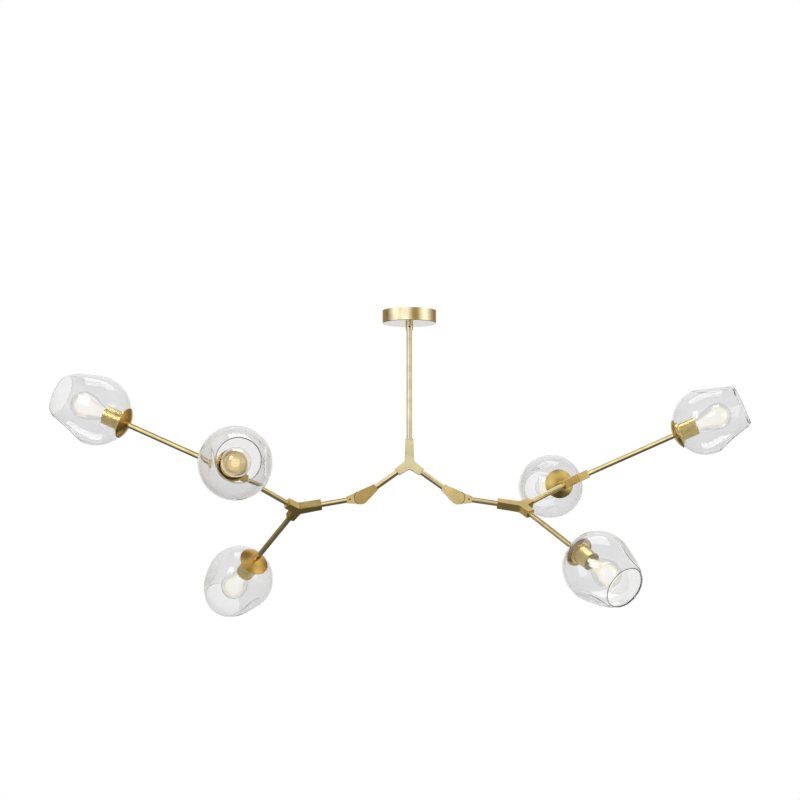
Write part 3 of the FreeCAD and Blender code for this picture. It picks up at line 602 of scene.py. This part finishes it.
def make_materials():
    return {
        # painted shade: each glass darkens from its tint to its edge colour where it turns edge on
        "shade_glass": clear_glass("blown_glass", (0.86, 0.86, 0.862), (0.34, 0.34, 0.345), 0.012, 26.0),
        # painted light: the rim's tint and edge colour are lighter than the shade's, lightening the dark line
        # at the mouth
        "shade_rim": clear_glass("shade_rim", (0.93, 0.93, 0.93), (0.80, 0.80, 0.80), 0.0, 26.0, ground=0.6),
        "bulb_glass": clear_glass("bulb_glass", (0.93, 0.93, 0.92), (0.45, 0.45, 0.44), 0.02, 40.0),
        # painted shadow: the dark strip along each swivel disc's edge
        "gap": plastic("gap_shadow", (64, 48, 26), 0.7),
        "zinc_steel": plain_metal("zinc_steel", (205, 205, 200), 0.35),
        "dark_steel": plain_metal("dark_steel", (150, 96, 48), 0.4),
        "base_metal": plain_metal("base_metal", (225, 205, 150), 0.22),
        "terminal_plastic": plastic("terminal_plastic", (226, 224, 214), 0.45),
        "holder_plastic": plastic("holder_plastic", (206, 188, 150), 0.4),
        "washer_plastic": plastic("washer_plastic", (210, 208, 196), 0.5),
        "cable_sheath": plastic("cable_sheath", (214, 212, 204), 0.3),
        "filament": glow("filament_light", (255, 226, 170), 1.4),
        "bulb_light": soft_glow("bulb_light", (255, 254, 248), (255, 240, 206), 1.15, 1.0),
        # painted light: the lamp that faces the front gets a dimmer, more golden copy of the same light
        "bulb_light_front": soft_glow("bulb_light_front", (255, 236, 172), (214, 178, 100), 0.75, 0.5),
    }


MATERIALS = make_materials()


def paint(node, material):
    """Give a carried-over node its material."""
    mesh = frame["nodes"][node].data
    mesh.materials.clear()
    mesh.materials.append(material)
    for face in mesh.polygons:
        face.material_index = 0


# brass of the nodes: tone in 0 to 255 and roughness, where they aren't the common ones
BRASS_TONE = (224, 196, 124)
BRASS_ROUGH = 0.28
# painted light and shade: the same brass made lighter or darker node by node, for how light falls on each
PAINTED_LIGHT_TONES = {
    "center_hub": (250, 236, 190), "left_swivel_fork": (196, 168, 104), "right_swivel_fork": (242, 220, 156),
    "left_swivel_tongue": (220, 196, 136), "right_swivel_tongue": (240, 220, 166),
    "left_lamp_caps": (216, 176, 96), "right_lamp_caps": (214, 186, 110),
    "left_socket_shells": (196, 174, 112), "right_socket_shells": (204, 180, 112),
}
ROUGHNESSES = {"left_socket_shells": 0.40}


def node_brass(node):
    """Brass of one node, brushed the way that the piece was made; where its tone differs from BRASS_TONE,
    that is painted light and shade.
    """
    if node.endswith("_rod"):
        first, _, way = rod_axis(node)
        return brass(node + "_brass", (240, 222, 166), 0.11, axis=way, center=first)
    if node == "stem_tube":
        return brass("stem_brass", (246, 232, 198), BRASS_ROUGH, axis=(0, 0, 1))
    if node == "canopy":
        # the canopy's pale colour on faces that look down is a painted reflection
        return brass("canopy_brass", (250, 236, 196), 0.14, axis=(0, 0, 1), turned=True,
                     below=(212, 203, 198))
    if node == "canopy_collar":
        return brass("canopy_collar_brass", (240, 226, 180), 0.24, axis=(0, 0, 1), turned=True)
    return brass(node + "_brass", PAINTED_LIGHT_TONES.get(node, BRASS_TONE), ROUGHNESSES.get(node, BRASS_ROUGH))


def dress_nodes():
    for part in frame["record"]["subparts"]:
        node, slot = part["node"], part["material_slot"]
        paint(node, MATERIALS[slot] if slot in MATERIALS else node_brass(node))


# ---------------------------------------------------------------- lamps

def add_lamp(side, name, turn):
    """Shade, bulb, screw base and light of one lamp, in place of its solids."""
    place = lamp_frame(side, name)
    add_shade(side, name, turn, place)
    bulb = smooth_object(f"{side}_{name}_bulb", lambda builder: bulb_mesh(builder, place))
    bulb.data.materials.append(MATERIALS["bulb_glass"])
    base = smooth_object(f"{side}_{name}_bulb_base", lambda builder: screw_base_mesh(builder, place))
    base.data.materials.append(MATERIALS["base_metal"])
    for piece, node, slot in ((bulb, "bulbs", "bulb_glass"), (base, "bulb_bases", "zinc_steel")):
        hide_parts(f"{side}_{node}")
        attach(piece, f"{side}_branch")
    light = smooth_object(f"{side}_{name}_bulb_light", lambda builder: bulb_light_mesh(builder, place))
    # the lamp that faces the front takes the dimmer, more golden copy of the light, painted light
    light.data.materials.append(MATERIALS["bulb_light_front" if name == "front" else "bulb_light"])
    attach(light, f"{side}_branch")


def add_disc_gap_shadow(side):
    """Painted shadow of the gap between a swivel's disc and its tongue: a thin dark strip."""
    joints = {joint["name"]: joint for joint in frame["record"]["behaviour"]["joints"]}
    pivot = Vector(joints[side + "_tilt"]["pos_m"])
    outward = Vector(joints[side + "_roll"]["axis"])
    upward = Vector((0, -1, 0)).cross(outward)
    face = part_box(side + "_swivel_fork")[0].y

    steps = 40

    def line(radius, depth):
        points = []
        for step in range(steps + 1):
            angle = math.radians(-GAP_SPAN + 2 * GAP_SPAN * step / steps)
            spot = pivot + (outward * math.cos(angle) + upward * math.sin(angle)) * radius
            points.append(Vector((spot.x, face + depth, spot.z)))
        return points

    def build(builder):
        strip(builder, [line(GAP_INSIDE, GAP_SUNK), line(GAP_INSIDE, -GAP_PROUD),
                        line(GAP_OUTSIDE, -GAP_PROUD), line(GAP_OUTSIDE, GAP_SUNK)])

    gap = smooth_object(side + "_disc_gap", build)
    gap.data.materials.append(MATERIALS["gap"])
    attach(gap, "root")


# ---------------------------------------------------------------- studio

# the room that metal mirrors: its brightness all round, in degrees from the front; the share of it that is
# left at each height, from straight down (0) to straight up (1); and the light added at each height.
# Where it is darker than DIM it is WARM.
ROOM_AROUND = [
    (-180, 1.0), (-162, 0.9), (-150, 0.24), (-106, 0.24), (-88, 0.62), (-70, 1.15), (-55, 1.15), (-42, 0.85),
    (-28, 1.25), (-9, 1.2), (2, 0.74), (12, 0.42), (24, 0.30), (36, 0.42), (46, 0.75), (60, 1.2),
    (80, 1.15), (96, 0.58), (112, 0.36), (126, 0.24), (150, 0.24), (162, 0.9), (180, 1.0)]
ROOM_LEVEL = [
    (0.0, 0.12), (0.28, 0.16), (0.40, 0.85), (0.50, 1.0),
    (0.64, 1.0), (0.74, 0.45), (0.80, 0.25), (1.0, 0.15)]
ROOM_ABOVE = [(0.0, 0.06), (0.40, 0.05), (0.66, 0.05), (0.78, 0.75), (0.90, 0.85), (0.97, 0.25), (1.0, 0.15)]
DIM = 0.5
WARM = (1.0, 0.76, 0.30)

# light that falls on matt surfaces, from the front of the room (0) to its back (1)
ROOM_LIGHT = [(0.0, 0.30), (0.35, 0.42), (0.55, 0.75), (0.8, 1.0)]

FLOOR_HEIGHT = -2.4
FLOOR_HALF = 14
LIT_POINT = (0, 0, -0.4)
LIGHTS = [
    ("key", (-2.2, -2.6, 1.2), (1.6, 1.6), 60),
    ("fill", (2.8, -2.2, 0.2), (1.8, 1.8), 26),
    ("top", (0, 0.4, 2.2), (2.4, 1.4), 40),
]


def ray_kinds(tree):
    """The light path, and a value that is 1 where the camera looks, straight or through glass."""
    path = tree.nodes.new("ShaderNodeLightPath")
    seen = add_node(tree, "ShaderNodeMath", operation="MAXIMUM")
    tree.links.new(path.outputs["Is Camera Ray"], seen.inputs[0])
    tree.links.new(path.outputs["Is Transmission Ray"], seen.inputs[1])
    return path, seen.outputs[0]


def level_by(tree, value, low, high, stops):
    """Brightness or colour that follows a value, its stops counted from low (0) to high (1)."""
    share = add_node(tree, "ShaderNodeMapRange")
    share.inputs["From Min"].default_value = low
    share.inputs["From Max"].default_value = high
    tree.links.new(value, share.inputs["Value"])
    return color_ramp(tree, share.outputs["Result"], [
        (spot, level if isinstance(level, tuple) else (level,) * 3) for spot, level in stops])


def blend_colors(tree, first, second, blend):
    node = add_node(tree, "ShaderNodeMix", data_type="RGBA", blend_type=blend)
    node.inputs["Factor"].default_value = 1.0
    tree.links.new(first, node.inputs["A"])
    tree.links.new(second, node.inputs["B"])
    return node.outputs["Result"]


def mirrored_room(tree, parts):
    """What metal mirrors: bands round the room, dimmed and lit by height."""
    link = tree.links.new
    front = add_node(tree, "ShaderNodeMath", operation="MULTIPLY")
    front.inputs[1].default_value = -1.0
    link(parts.outputs["Y"], front.inputs[0])
    compass = add_node(tree, "ShaderNodeMath", operation="ARCTAN2")
    link(parts.outputs["X"], compass.inputs[0])
    link(front.outputs[0], compass.inputs[1])
    around = level_by(tree, compass.outputs[0], -math.pi, math.pi, [
        ((degrees + 180) / 360, tuple(level * part for part in (WARM if level < DIM else (1, 1, 1))))
        for degrees, level in ROOM_AROUND])
    level = level_by(tree, parts.outputs["Z"], -1.0, 1.0, ROOM_LEVEL)
    above = level_by(tree, parts.outputs["Z"], -1.0, 1.0, ROOM_ABOVE)
    return blend_colors(tree, blend_colors(tree, around, level, "MULTIPLY"), above, "ADD")


def add_world():
    """White round the object for what the camera and the glass see, a studio for what the metal mirrors."""
    world = bpy.data.worlds.new("studio")
    bpy.context.scene.world = world
    world.use_nodes = True
    tree = world.node_tree
    tree.nodes.clear()
    link = tree.links.new
    output = tree.nodes.new("ShaderNodeOutputWorld")
    path, seen = ray_kinds(tree)
    place = tree.nodes.new("ShaderNodeTexCoord")
    parts = tree.nodes.new("ShaderNodeSeparateXYZ")
    link(place.outputs["Generated"], parts.inputs[0])
    shown = add_node(tree, "ShaderNodeBackground", Strength=1.0)
    shown.inputs["Color"].default_value = (1, 1, 1, 1)
    light = add_node(tree, "ShaderNodeBackground", Strength=0.85)
    link(level_by(tree, parts.outputs["Y"], -1.0, 1.0, ROOM_LIGHT), light.inputs["Color"])
    mirrored = add_node(tree, "ShaderNodeBackground", Strength=1.0)
    link(mirrored_room(tree, parts), mirrored.inputs["Color"])
    lit = mix_shaders(tree, path.outputs["Is Glossy Ray"], light.outputs[0], mirrored.outputs[0])
    link(mix_shaders(tree, seen, lit, shown.outputs[0]), output.inputs["Surface"])


def add_light(name, place, size, power):
    """Area light aimed at the middle of the object, hidden from mirrored rays."""
    data = bpy.data.lights.new(name, "AREA")
    data.shape = "RECTANGLE"
    data.size, data.size_y = size
    data.energy = power
    light = bpy.data.objects.new(name, data)
    light.location = place
    light.rotation_euler = (Vector(LIT_POINT) - Vector(place)).to_track_quat("-Z", "Y").to_euler()
    light.visible_glossy = False
    bpy.context.scene.collection.objects.link(light)


def floor_mesh(builder):
    corners = ((-1, -1), (1, -1), (1, 1), (-1, 1))
    builder.faces.new([builder.verts.new((x * FLOOR_HALF, y * FLOOR_HALF, FLOOR_HEIGHT)) for x, y in corners])


def add_floor():
    """Pale floor well below the lamps, white where it is seen and absent from what metal mirrors."""
    material, tree, output = new_material("floor_white")
    path, seen = ray_kinds(tree)
    pale = add_node(tree, "ShaderNodeBsdfDiffuse")
    pale.inputs["Color"].default_value = (0.86, 0.86, 0.86, 1)
    white = add_node(tree, "ShaderNodeEmission", Strength=1.0)
    clear = tree.nodes.new("ShaderNodeBsdfTransparent")
    shown = mix_shaders(tree, seen, pale.outputs[0], white.outputs[0])
    mixed = mix_shaders(tree, path.outputs["Is Glossy Ray"], shown, clear.outputs[0])
    tree.links.new(mixed, output.inputs["Surface"])
    floor = smooth_object("floor", floor_mesh)
    floor.data.materials.append(material)


def studio():
    add_world()
    add_floor()
    for name, place, size, power in LIGHTS:
        add_light(name, place, size, power)


dress_nodes()
for (side, name), turn in LAMPS.items():
    add_lamp(side, name, turn)
for side in ("left", "right"):
    add_disc_gap_shadow(side)
studio()

bpy.context.scene.view_settings.view_transform = "Standard"
